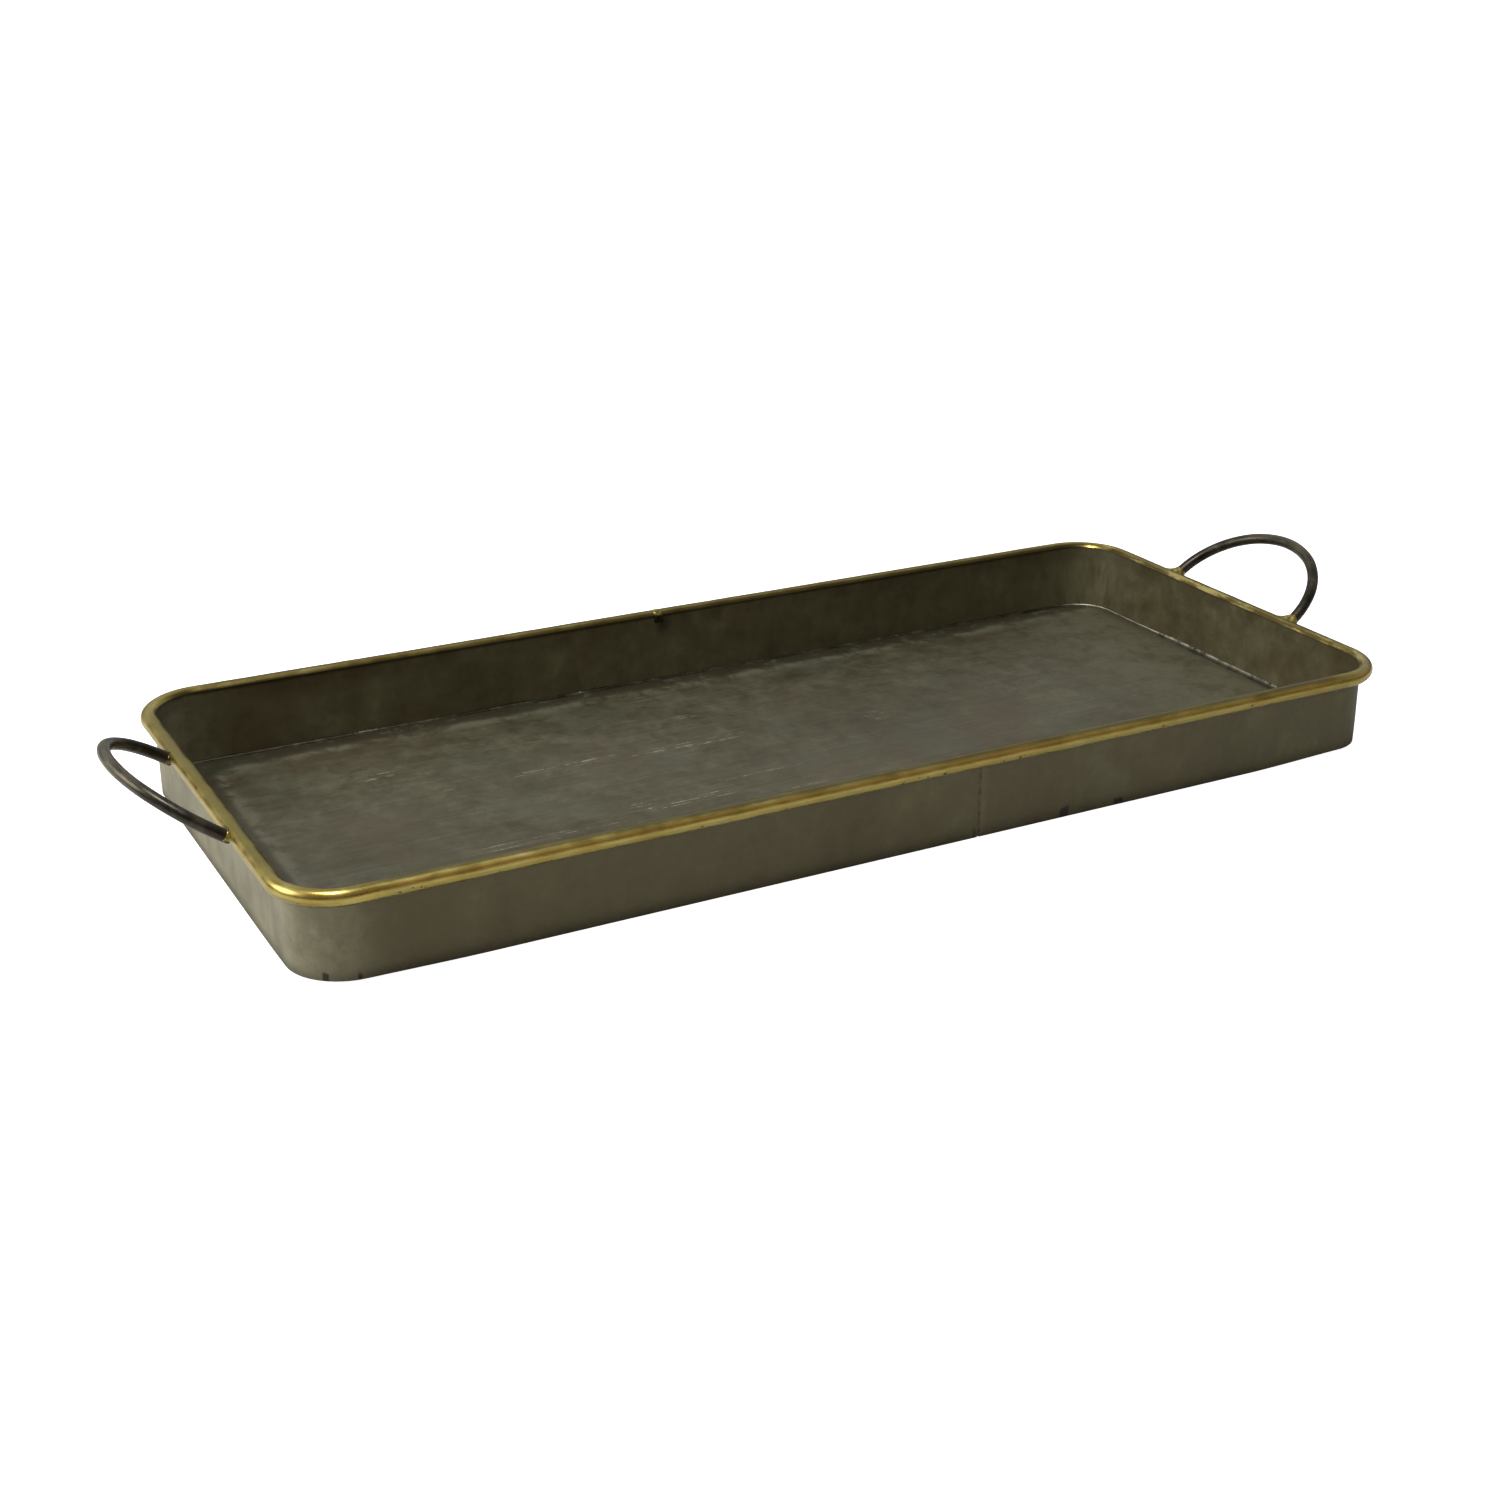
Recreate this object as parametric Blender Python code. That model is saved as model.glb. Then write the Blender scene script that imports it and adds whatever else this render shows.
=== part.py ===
"""Long serving tray of aged zinc sheet with a wired brass rim and two iron loop handles.

The tray is put together as a tinsmith would make it:
- a floor pan with a turned-down flange stands inside a wall band;
- the band is one strip, bent round and lapped at a seam on the front, with its lower edge folded up
  round the floor's flange and its upper edge inside a split brass bead that closes round a steel wire;
- two half-round iron rods are brazed to the outside of the rim at the ends.

+X is the long way, -Y the front with the lap seam, +Z up. The origin is on the ground under the middle.
All lengths are metres.
"""

import math

import bmesh
import bpy
from mathutils import Matrix, Vector

# Driving dimensions
RIM_LENGTH = 0.610  # over the outside of the bead
RIM_WIDTH = 0.268
HEIGHT = 0.0475  # to the top of the bead
BEAD_RADIUS = 0.00405
CORNER_RADIUS = 0.0296  # of the bead's centre line, in plan
CORNER_TIGHTENING = 0.0041  # how much smaller the plan radius is at the ground
SHEET = 0.0008
GAP = 0.0003  # left between pieces that touch

# Wall band: how far its outer face lies inside the bead's centre line
WALL_INSET_TOP = 0.0023
WALL_INSET_BASE = 0.00355
LIP_HEIGHT = 0.0022  # of the bead's inner lip above the bead's centre
HEM_LEG = 0.0050  # height of the fold behind the floor's flange
EDGE_EASE = 0.0005  # rounding of the fold at the ground

# Floor pan
FLOOR_TOP = 0.0071
FLANGE_BEND = 0.0016  # outer radius of the bend

# Lap seam on the front and butt joint of the bead at the back
SEAM_X = 0.0412
SEAM_GROOVE = 0.0017
SEAM_LAP = 0.0105
LAP_BOTTOM = 0.0098
SEAM_SOLDER_WIDTH = 0.00085
SEAM_SOLDER_DEPTH = 0.00072  # behind the wall's outer face
SEAM_SOLDER_PROUD = 0.0001
BEAD_JOINT_X = -0.0070
BEAD_JOINT_WIDTH = 0.0032
BEAD_JOINT_HEIGHT = 0.0006

# Wire inside the bead
WIRE_RADIUS = 0.0024

# Solder between floor and wall, hollow in section
FILLET_WIDTH = 0.0029
FILLET_HEIGHT = 0.0020

# Handles: half an ellipse of round rod, its plane rising outwards
ROD_RADIUS = 0.0031
HANDLE_HALF_SPAN = 0.0496
HANDLE_REACH = 0.0368
HANDLE_OFFSET_Y = 0.0014
HANDLE_ROOT_X = 0.3058
HANDLE_END = 0.0020  # length of rod inside its ellipse's end
# Which end, height of the roots, rise from the roots to the top
HANDLES = {"left": (-1, 0.0437, 0.0250), "right": (1, 0.0462, 0.0267)}

# Braze at the roots: how far it stands over the rod at the bead, and how far it climbs the rod
ROOT_BRAZES = {"left": (0.0017, 0.0018), "right": (0.0029, 0.0034)}
BRAZE_DEPTH = 0.0024  # inwards from the roots, before the bead is cut away
BRAZE_EDGE = 0.0009  # over the rod, where it ends
BORE_REACH = 0.02  # half the length of the cutter for the rod's hole

CORNER_STEPS = 12
BEAD_STEPS = 18
WIRE_SIDES = 12
ROD_SIDES = 14
ROD_STEPS = 32
ROUND_SIDES = 32
BRAZE_STEPS = 3
FILLET_STEPS = 3

# Worked out
HALF_X = RIM_LENGTH / 2 - BEAD_RADIUS
HALF_Y = RIM_WIDTH / 2 - BEAD_RADIUS
BEAD_Z = HEIGHT - BEAD_RADIUS
BORE_RADIUS = BEAD_RADIUS - SHEET
WALL_TOP = BEAD_Z + LIP_HEIGHT - GAP
FRONT, BACK = -1, 1
CORNERS = {
    "front_right": (1, FRONT, -90),
    "back_right": (1, BACK, 0),
    "back_left": (-1, BACK, 90),
    "front_left": (-1, FRONT, 180),
}

MATERIALS = {
    "aged_zinc": ((0.085, 0.078, 0.052), 0.62, 0.75),
    "aged_brass": ((0.27, 0.205, 0.062), 0.42, 0.95),
    "braze": ((0.42, 0.34, 0.13), 0.30, 1.0),
    "dark_iron": ((0.030, 0.028, 0.025), 0.45, 0.85),
    "steel_wire": ((0.25, 0.25, 0.26), 0.45, 1.0),
    "solder": ((0.34, 0.34, 0.30), 0.45, 0.9),
}


def clear_scene():
    for old in list(bpy.data.objects):
        bpy.data.objects.remove(old, do_unlink=True)


def material(name):
    """The named material, made on first use."""
    found = bpy.data.materials.get(name)
    if found:
        return found
    colour, roughness, metallic = MATERIALS[name]
    made = bpy.data.materials.new(name)
    made.use_nodes = True
    shader = made.node_tree.nodes["Principled BSDF"]
    shader.inputs["Base Color"].default_value = (*colour, 1.0)
    shader.inputs["Roughness"].default_value = roughness
    shader.inputs["Metallic"].default_value = metallic
    return made


def finish(name, bm, material_name):
    """Turns a closed bmesh into a named, smooth shaded object."""
    bmesh.ops.triangulate(bm, faces=[f for f in bm.faces if len(f.verts) > 4], ngon_method="EAR_CLIP")
    bmesh.ops.recalc_face_normals(bm, faces=bm.faces[:])
    mesh = bpy.data.meshes.new(name)
    bm.to_mesh(mesh)
    bm.free()
    mesh.shade_smooth()
    mesh.set_sharp_from_angle(angle=math.radians(35))
    mesh.materials.append(material(material_name))
    made = bpy.data.objects.new(name, mesh)
    bpy.context.scene.collection.objects.link(made)
    return made


# Outlines in plan. A station is one place along the tray's outline, the same for every inset and height.


def corner(name):
    """Stations round one corner, anticlockwise."""
    sx, sy, first = CORNERS[name]
    turns = [first + 90 * i / CORNER_STEPS for i in range(CORNER_STEPS + 1)]
    return [("corner", sx, sy, math.radians(degrees)) for degrees in turns]


def side(x, sy):
    """A station on the front or back side."""
    return [("side", x, sy, 0.0)]


def place(station, inset, z):
    """The point of a station, inset inwards from the bead's centre line."""
    kind, x, sy, angle = station
    if kind == "side":
        return Vector((x, sy * (HALF_Y - inset), z))
    tighter = CORNER_TIGHTENING * (1 - z / BEAD_Z)
    radius = CORNER_RADIUS - tighter - inset
    centre_x = x * (HALF_X - inset - radius)
    centre_y = sy * (HALF_Y - inset - radius)
    return Vector((centre_x + radius * math.cos(angle), centre_y + radius * math.sin(angle), z))


ALL_CORNERS = corner("front_right") + corner("back_right") + corner("back_left") + corner("front_left")
FROM_BACK = corner("back_left") + corner("front_left") + corner("front_right") + corner("back_right")


def wall_inset(z):
    """How far the wall's outer face lies inside the bead's centre line at height z."""
    return WALL_INSET_TOP + (WALL_INSET_BASE - WALL_INSET_TOP) * (1 - z / BEAD_Z)


def arc(radius, first, last, steps, centre=0.0):
    """Points of the bead's section between two angles, as (inset, z); 0 degrees points outwards."""
    points = []
    for i in range(steps + 1):
        angle = math.radians(first + (last - first) * i / steps)
        points.append((-centre - radius * math.cos(angle), BEAD_Z + radius * math.sin(angle)))
    return points


def rows_of(bm, stations, section):
    return [[bm.verts.new(place(s, inset, z)) for inset, z in section] for s in stations]


def bridge(bm, first, second, closed=True):
    """Faces between two rows of the same length."""
    count = len(first)
    for i in range(count if closed else count - 1):
        j = (i + 1) % count
        bm.faces.new((first[i], first[j], second[j], second[i]))


def sweep(name, stations, section, material_name, closed):
    """A closed section carried along the outline, either all the way round or capped at both ends."""
    bm = bmesh.new()
    rows = rows_of(bm, stations, section)
    for first, second in zip(rows, rows[1:]):
        bridge(bm, first, second)
    if closed:
        bridge(bm, rows[-1], rows[0])
    else:
        bm.faces.new(rows[0])
        bm.faces.new(rows[-1])
    return finish(name, bm, material_name)


def at_wall(offsets_and_heights):
    """Section points given by their distance inside the wall's outer face."""
    return [(wall_inset(z) + offset, z) for offset, z in offsets_and_heights]


def wall_band():
    """The wall with its folded lower edge, and at its far end the tab that lies behind the lap seam."""
    slot_far = SHEET + GAP + SHEET + GAP
    hem = slot_far + SHEET
    section = at_wall([
        (0, WALL_TOP),
        (0, LAP_BOTTOM),
        (0, EDGE_EASE),
        (EDGE_EASE, 0),
        (hem - EDGE_EASE, 0),
        (hem, EDGE_EASE),
        (hem, HEM_LEG),
        (slot_far, HEM_LEG),
        (slot_far, SHEET),
        (SHEET, SHEET),
        (SHEET, LAP_BOTTOM),
        (SHEET, WALL_TOP),
    ])
    near_end = SEAM_X + SEAM_GROOVE / 2
    far_end = SEAM_X - SEAM_GROOVE / 2
    bm = bmesh.new()
    rows = rows_of(bm, side(near_end, FRONT) + ALL_CORNERS + side(far_end, FRONT), section)
    for first, second in zip(rows, rows[1:]):
        bridge(bm, first, second)
    bm.faces.new(rows[0])
    last = rows[-1]
    bm.faces.new(last[1:-1])
    edge = [last[0], last[1], last[-2], last[-1]]
    step_in = SHEET + GAP
    for x in (near_end - GAP, near_end + SEAM_LAP):
        row = [bm.verts.new((x, v.co.y + step_in, v.co.z)) for v in (last[0], last[1], last[-2], last[-1])]
        bridge(bm, edge, row)
        edge = row
    bm.faces.new(edge)
    return finish("wall_band", bm, "aged_zinc")


def floor_pan():
    """A flat plate whose edge turns down inside the wall and into its folded lower edge."""
    outer = SHEET + GAP
    inner = outer + SHEET
    straight = FLOOR_TOP - FLANGE_BEND
    bend_centre = outer + FLANGE_BEND
    outer_bend, inner_bend = [], []
    for degrees in (90, 60, 30, 0):
        c, s = math.cos(math.radians(degrees)), math.sin(math.radians(degrees))
        outer_bend.append((bend_centre - FLANGE_BEND * c, straight + FLANGE_BEND * s))
        inner_radius = FLANGE_BEND - SHEET
        inner_bend.append((bend_centre - inner_radius * c, straight + inner_radius * s))
    foot = SHEET + GAP
    section = at_wall(outer_bend + [(outer, foot), (inner, foot)] + inner_bend[::-1])
    bm = bmesh.new()
    rows = rows_of(bm, ALL_CORNERS, section)
    for first, second in zip(rows, rows[1:] + rows[:1]):
        bridge(bm, first, second, closed=False)
    bm.faces.new([row[0] for row in rows])
    bm.faces.new([row[-1] for row in rows])
    return finish("floor_pan", bm, "aged_zinc")


def floor_solder():
    """The hollow fillet of solder run round the corner between floor and wall."""
    wall_side = SHEET + GAP
    low = FLOOR_TOP + GAP
    section = [(wall_side, low)]
    for i in range(FILLET_STEPS + 1):
        up = i / FILLET_STEPS
        section.append((wall_side + FILLET_WIDTH * (1 - up) ** 2, low + FILLET_HEIGHT * up ** 2))
    return sweep("floor_solder", ALL_CORNERS, at_wall(section), "solder", closed=True)


def seam_solder():
    """The thin line of solder in the groove of the lap seam."""
    right = SEAM_X + SEAM_GROOVE / 2 - GAP
    left = right - SEAM_SOLDER_WIDTH
    bm = bmesh.new()
    rows = []
    for z in (EDGE_EASE, LAP_BOTTOM, BEAD_Z - BEAD_RADIUS - GAP):
        face = -(HALF_Y - wall_inset(z))
        outer = face - SEAM_SOLDER_PROUD
        deep = face + SEAM_SOLDER_DEPTH
        rows.append([bm.verts.new(p) for p in ((left, outer, z), (right, outer, z), (right, deep, z))])
    for first, second in zip(rows, rows[1:]):
        bridge(bm, first, second)
    bm.faces.new(rows[0])
    bm.faces.new(rows[-1])
    return finish("seam_solder", bm, "solder")


def rim_bead():
    """The split brass bead: from the wall's outer face round the outside to the lip on the wall's edge."""
    slot = wall_inset(BEAD_Z - BEAD_RADIUS) - GAP  # how far inwards the bead's lower edge reaches
    lower_outside = -180 + math.degrees(math.acos(slot / BEAD_RADIUS))
    lower_inside = -180 + math.degrees(math.acos(slot / BORE_RADIUS))
    lip_outside = 180 - math.degrees(math.asin(LIP_HEIGHT / BEAD_RADIUS))
    lip_inside = 180 - math.degrees(math.asin(LIP_HEIGHT / BORE_RADIUS))
    section = arc(BEAD_RADIUS, lower_outside, lip_outside, BEAD_STEPS)
    section += arc(BORE_RADIUS, lip_inside, lower_inside, BEAD_STEPS // 2)
    stations = side(BEAD_JOINT_X - GAP / 2, BACK) + FROM_BACK + side(BEAD_JOINT_X + GAP / 2, BACK)
    return sweep("rim_bead", stations, section, "aged_brass", closed=False)


def rim_joint_braze():
    """A low saddle of braze over the butt joint of the bead."""
    inner = BEAD_RADIUS + GAP
    outer = inner + BEAD_JOINT_HEIGHT
    section = arc(outer, 40, 140, 10) + arc(inner, 140, 40, 10)
    half = BEAD_JOINT_WIDTH / 2
    stations = side(BEAD_JOINT_X - half, BACK) + side(BEAD_JOINT_X + half, BACK)
    return sweep("rim_joint_braze", stations, section, "braze", closed=False)


def rim_wire():
    """The stiffening wire that the bead closes round."""
    centre = WIRE_RADIUS + GAP - WALL_INSET_TOP
    section = arc(WIRE_RADIUS, 0, 360 - 360 / WIRE_SIDES, WIRE_SIDES - 1, centre)
    return sweep("rim_wire", ALL_CORNERS, section, "steel_wire", closed=True)


# Handles and their brazed roots


def cutter(name, start, end, radius):
    """A cylinder between two points, used only to cut others."""
    bm = bmesh.new()
    axis = end - start
    turn = axis.to_track_quat("Z", "Y").to_matrix().to_4x4()
    bmesh.ops.create_cone(bm, cap_ends=True, segments=ROUND_SIDES, radius1=radius, radius2=radius,
                          depth=axis.length, matrix=Matrix.Translation((start + end) / 2) @ turn)
    made = finish(name, bm, "dark_iron")
    made.hide_render = True
    made.display_type = "WIRE"
    return made


def cut(target, tool):
    boolean = target.modifiers.new("cut_" + tool.name, "BOOLEAN")
    boolean.operation = "DIFFERENCE"
    boolean.solver = "EXACT"
    boolean.object = tool


def tube_ring(bm, centre, first, second, radius, sides):
    """A ring of points round centre, in the plane of two unit vectors."""
    ring = []
    for i in range(sides):
        angle = 2 * math.pi * i / sides
        ring.append(bm.verts.new(centre + (first * math.cos(angle) + second * math.sin(angle)) * radius))
    return ring


def skin(name, bm, rings, material_name):
    """A closed body from rings of points, flat at both ends."""
    for first, second in zip(rings, rings[1:]):
        bridge(bm, first, second)
    bm.faces.new(rings[0])
    bm.faces.new(rings[-1])
    return finish(name, bm, material_name)


def handle(word, rim_cutter):
    """A half-ellipse of round rod, coped at both ends to fit against the bead."""
    end, root_z, rise = HANDLES[word]
    outwards = Vector((end * HANDLE_REACH, 0, rise))
    across = Vector((0, HANDLE_HALF_SPAN, 0))
    middle = Vector((end * HANDLE_ROOT_X, HANDLE_OFFSET_Y, root_z))
    normal = outwards.cross(across).normalized()
    stub = outwards.normalized() * HANDLE_END
    spine = [(middle + across - stub, outwards)]
    for i in range(ROD_STEPS + 1):
        t = math.pi * i / ROD_STEPS
        tangent = outwards * math.cos(t) - across * math.sin(t)
        spine.append((middle + across * math.cos(t) + outwards * math.sin(t), tangent))
    spine.append((middle - across - stub, -outwards))
    bm = bmesh.new()
    rings = []
    for point, tangent in spine:
        inwards = tangent.normalized().cross(normal)
        rings.append(tube_ring(bm, point, normal, inwards, ROD_RADIUS, ROD_SIDES))
    rod = skin("handle_" + word, bm, rings, "dark_iron")
    cut(rod, rim_cutter)
    return rod


def root_braze(word, place_word, near, rim_cutter):
    """A flared collar of braze where one end of a handle meets the bead."""
    end, root_z, rise = HANDLES[word]
    foot, climb = ROOT_BRAZES[word]
    axis = Vector((end * HANDLE_REACH, 0, rise)).normalized()
    across = Vector((0, 1, 0))
    root = Vector((end * HANDLE_ROOT_X, HANDLE_OFFSET_Y + near * HANDLE_HALF_SPAN, root_z))
    bm = bmesh.new()
    rings = []
    for i in range(BRAZE_STEPS + 1):
        up = i / BRAZE_STEPS
        radius = ROD_RADIUS + BRAZE_EDGE + (foot - BRAZE_EDGE) * (1 - up ** 1.5)
        centre = root + axis * (-BRAZE_DEPTH + (climb + BRAZE_DEPTH) * up)
        rings.append(tube_ring(bm, centre, across, axis.cross(across), radius, ROUND_SIDES))
    name = f"braze_{word}_{place_word}"
    collar = skin(name, bm, rings, "braze")
    bore_radius = ROD_RADIUS + GAP * 1.5
    cut(collar, cutter(name + "_bore", root - axis * BORE_REACH, root + axis * BORE_REACH, bore_radius))
    cut(collar, rim_cutter)
    return collar


def handles():
    """Both handles with their brazes, each fitted to the bead by one cutter as thick as the bead."""
    for word, (end, _, _) in HANDLES.items():
        reach_y = Vector((0, RIM_WIDTH / 3, 0))
        on_rim = Vector((end * HALF_X, 0, BEAD_Z))
        rim_cutter = cutter("rim_cutter_" + word, on_rim - reach_y, on_rim + reach_y, BEAD_RADIUS + GAP)
        handle(word, rim_cutter)
        root_braze(word, "front", FRONT, rim_cutter)
        root_braze(word, "back", BACK, rim_cutter)


def main():
    clear_scene()
    floor_pan()
    wall_band()
    floor_solder()
    seam_solder()
    rim_bead()
    rim_joint_braze()
    rim_wire()
    handles()


main()
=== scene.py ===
"""Looks of the serving tray: fine meshes and materials for every piece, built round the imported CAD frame.

Each CAD node that shows is replaced by a finer mesh of the same piece: rolled sheet that isn't quite flat,
a hand-closed bead, forged rods, and braze and solder that have flowed. All lengths are metres.
"""

import math

import bmesh
import bpy
import numpy as np
from mathutils import Matrix, Vector, noise


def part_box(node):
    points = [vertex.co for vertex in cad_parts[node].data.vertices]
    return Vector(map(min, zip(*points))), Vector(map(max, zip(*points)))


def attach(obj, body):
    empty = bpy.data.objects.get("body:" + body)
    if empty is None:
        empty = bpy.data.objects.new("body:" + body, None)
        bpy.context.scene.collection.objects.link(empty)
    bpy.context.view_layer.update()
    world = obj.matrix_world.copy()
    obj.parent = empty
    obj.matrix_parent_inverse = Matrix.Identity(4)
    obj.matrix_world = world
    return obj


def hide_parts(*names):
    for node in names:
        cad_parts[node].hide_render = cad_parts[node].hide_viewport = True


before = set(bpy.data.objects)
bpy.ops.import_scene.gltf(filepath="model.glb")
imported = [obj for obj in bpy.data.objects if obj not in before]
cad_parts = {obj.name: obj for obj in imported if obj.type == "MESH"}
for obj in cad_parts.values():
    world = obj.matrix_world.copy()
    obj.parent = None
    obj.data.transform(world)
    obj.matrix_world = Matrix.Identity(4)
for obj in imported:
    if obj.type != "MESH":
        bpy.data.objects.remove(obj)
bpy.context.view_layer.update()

# ---------------------------------------------------------------------------------------------------
# Sizes, from the frame where it holds them

MM = 0.001
rim_low, rim_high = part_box("rim_bead")
BEAD_R = (rim_high.z - rim_low.z) / 2
BEAD_Z = rim_high.z - BEAD_R
HALF_X = rim_high.x - BEAD_R
HALF_Y = rim_high.y - BEAD_R
FLOOR_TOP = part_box("floor_pan")[1].z
WALL_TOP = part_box("wall_band")[1].z
SEAM_X = (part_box("seam_solder")[0].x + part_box("seam_solder")[1].x) / 2
JOINT_X = (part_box("rim_joint_braze")[0].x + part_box("rim_joint_braze")[1].x) / 2

CORNER_R = 29.6 * MM  # plan radius of the bead's centre line
TIGHT_CORNER_R = 26.6 * MM  # the front left corner is bent a little tighter
CORNER_R_BASE = 25.5 * MM  # at the ground
ROUND_FOOT_R = 30.8 * MM  # at the ground in the front left corner
WALL_INSET_TOP = 2.3 * MM  # of the wall's outer face, inside the bead's centre line
WALL_INSET_BASE = 3.55 * MM
SHEET = 0.8 * MM
GAP = 0.3 * MM
LIP_HEIGHT = 2.2 * MM
HEM_LEG = 5.0 * MM
HEM_RISE = 1.9 * MM  # of the foot at the corners
FRONT_LEFT_RISE = 1.2 * MM  # of the foot at the front left corner
SEAM_GROOVE = 1.7 * MM
SEAM_LAP = 10.5 * MM
SEAM_LEAN = 1.5 * MM  # the seam's foot lies this much further right than its top
LAP_BOTTOM = 9.8 * MM
FLANGE_BEND = 1.6 * MM

ROD_R = 3.1 * MM
HANDLE_HALF_SPAN = 49.6 * MM
HANDLE_REACH = 36.8 * MM
HANDLE_Y = 1.4 * MM
ROD_LENGTH = 153 * MM
HANDLE_ROOT_X = 305.8 * MM
HANDLES = {"left": (-1, 43.7 * MM, 25.0 * MM), "right": (1, 46.2 * MM, 26.7 * MM)}

FRONT, BACK = -1, 1
STEP = 3.0 * MM  # between stations along the outline
CORNER_STEPS = 26
STRAIGHT_X = HALF_X - CORNER_R
STRAIGHT_Y = HALF_Y - CORNER_R

# Braze at a root: its climb up the rod, its least spread on the bead, and its spread to front and to back
ROOT_FLOW = {
    "left": (0.9 * MM, 0.4 * MM, 0.7 * MM, 1.0 * MM),
    "right": (2.6 * MM, 1.0 * MM, 1.6 * MM, 6.5 * MM),
}
JOINT_HALF = 2.4 * MM  # length of the joint's braze to each side
JOINT_HEIGHT = 0.30 * MM
SINK = 0.12 * MM  # how far braze reaches into the bead
SOLDER_LEG, SOLDER_RISE = 1.9 * MM, 1.3 * MM  # of the floor solder, along the floor and up the wall
HEAVY_LEG, HEAVY_RISE = 1.2 * MM, 2.0 * MM  # added at the right end
SEAM_SINK = 0.12 * MM  # of the seam solder under the sheet's face

# The unevenness of handwork, as layers of (height, size of the bumps, seed)
WALL_SWELL = ((0.25 * MM, 85 * MM, 1.0), (0.12 * MM, 30 * MM, 2.0))
FLOOR_SAG = ((0.30 * MM, 160 * MM, 5.0), (0.14 * MM, 60 * MM, 6.0), (0.02 * MM, 12 * MM, 7.0))
BEAD_SIDEWAYS = ((0.18 * MM, 120 * MM, 11.0), (0.05 * MM, 20 * MM, 12.0))
BEAD_UP = ((0.16 * MM, 100 * MM, 13.0), (0.05 * MM, 18 * MM, 14.0))
BEAD_SWELL = ((0.06 * MM, 14 * MM, 15.0), (0.03 * MM, 5 * MM, 16.0))
BEAD_FINE = ((0.03 * MM, 6 * MM, 17.0),)
BEAD_EDGE_TURN = ((0.10, 16 * MM, 18.0), (0.06, 4 * MM, 19.0))  # radians
ROD_WANDER = ((0.10 * MM, 22 * MM, 31.0),)
ROD_FLATS = ((0.07 * MM, 9 * MM, 32.0), (0.03 * MM, 3 * MM, 33.0))
LEG_RIPPLE = ((0.5 * MM, 20 * MM, 51.0), (0.3 * MM, 5 * MM, 52.0))
RISE_RIPPLE = ((0.4 * MM, 16 * MM, 53.0), (0.25 * MM, 4 * MM, 54.0))
SEAM_RIPPLE = ((0.10 * MM, 6 * MM, 61.0), (0.07 * MM, 1.8 * MM, 62.0))


# ---------------------------------------------------------------------------------------------------
# Meshes


def make_mesh(name, points, faces, own, sharp=40):
    """An object from points and faces; own is the sheet's own coordinates, for patterns that follow it."""
    mesh = bpy.data.meshes.new(name)
    mesh.from_pydata([tuple(p) for p in points], [], faces)
    layer = mesh.attributes.new("own", "FLOAT_VECTOR", "POINT")
    layer.data.foreach_set("vector", np.asarray(own, np.float32).ravel())
    bm = bmesh.new()
    bm.from_mesh(mesh)
    bmesh.ops.recalc_face_normals(bm, faces=bm.faces[:])
    bm.to_mesh(mesh)
    bm.free()
    mesh.shade_smooth()
    mesh.set_sharp_from_angle(angle=math.radians(sharp))
    made = bpy.data.objects.new(name, mesh)
    bpy.context.scene.collection.objects.link(made)
    return made


def finish_piece(piece, nodes, material):
    """The piece rides on the one body, stands for its CAD nodes and takes its material."""
    piece.data.materials.append(material)
    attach(piece, "root")
    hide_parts(*nodes)
    return piece


def grid_faces(rows, columns, wrap_rows=False, wrap_columns=True):
    """Quads between the points of a grid stored row by row."""
    faces = []
    for r in range(rows if wrap_rows else rows - 1):
        a, b = r * columns, ((r + 1) % rows) * columns
        for c in range(columns if wrap_columns else columns - 1):
            d = (c + 1) % columns
            faces.append((a + c, b + c, b + d, a + d))
    return faces


def end_caps(points, columns):
    """Faces that close the two ends of such a grid."""
    return [tuple(range(columns)), tuple(range(len(points) - columns, len(points)))]


def ripple(point, size, seed):
    """Smooth noise between about -1 and 1, with bumps of the given size."""
    return noise.noise(Vector(point) / size + Vector((seed, 3.7 * seed, -2.1 * seed)))


def ripples(point, layers):
    return sum(height * ripple(point, size, seed) for height, size, seed in layers)


# The tray's outline as stations: (kind, x, y, sign of x, sign of y, cosine, sine)


def corner_stations(sx, sy, first):
    out = []
    for i in range(CORNER_STEPS + 1):
        a = math.radians(first + 90 * i / CORNER_STEPS)
        out.append(("corner", 0.0, 0.0, sx, sy, math.cos(a), math.sin(a)))
    return out


def long_side(x0, x1, sy):
    """Stations from x0 to x1 on a long side, both included."""
    count = max(1, round(abs(x1 - x0) / STEP))
    return [("long", x0 + (x1 - x0) * i / count, 0.0, 0, sy, 0.0, sy) for i in range(count + 1)]


def short_side(sx, y0, y1):
    """Stations between y0 and y1 on a short side, neither included."""
    count = round(abs(y1 - y0) / STEP)
    return [("short", 0.0, y0 + (y1 - y0) * i / count, sx, 0, sx, 0.0) for i in range(1, count)]


def outline_from(sy, x_first, x_last):
    """Stations once round, anticlockwise, from x_first to x_last on the same long side."""
    turns = [(1, FRONT, -90), (1, BACK, 0), (-1, BACK, 90), (-1, FRONT, 180)]
    if sy == BACK:
        turns = turns[2:] + turns[:2]
    way = -sy
    edge = STRAIGHT_X - STEP / 2
    run = long_side(x_first, way * edge, sy)
    for k, (cx, cy, first) in enumerate(turns):
        run += corner_stations(cx, cy, first)
        if k in (0, 2):
            run += short_side(cx, cy * STRAIGHT_Y, -cy * STRAIGHT_Y)
        elif k == 1:
            run += long_side(cx * edge, -cx * edge, cy)
    return run + long_side(-way * edge, x_last, sy)


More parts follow.
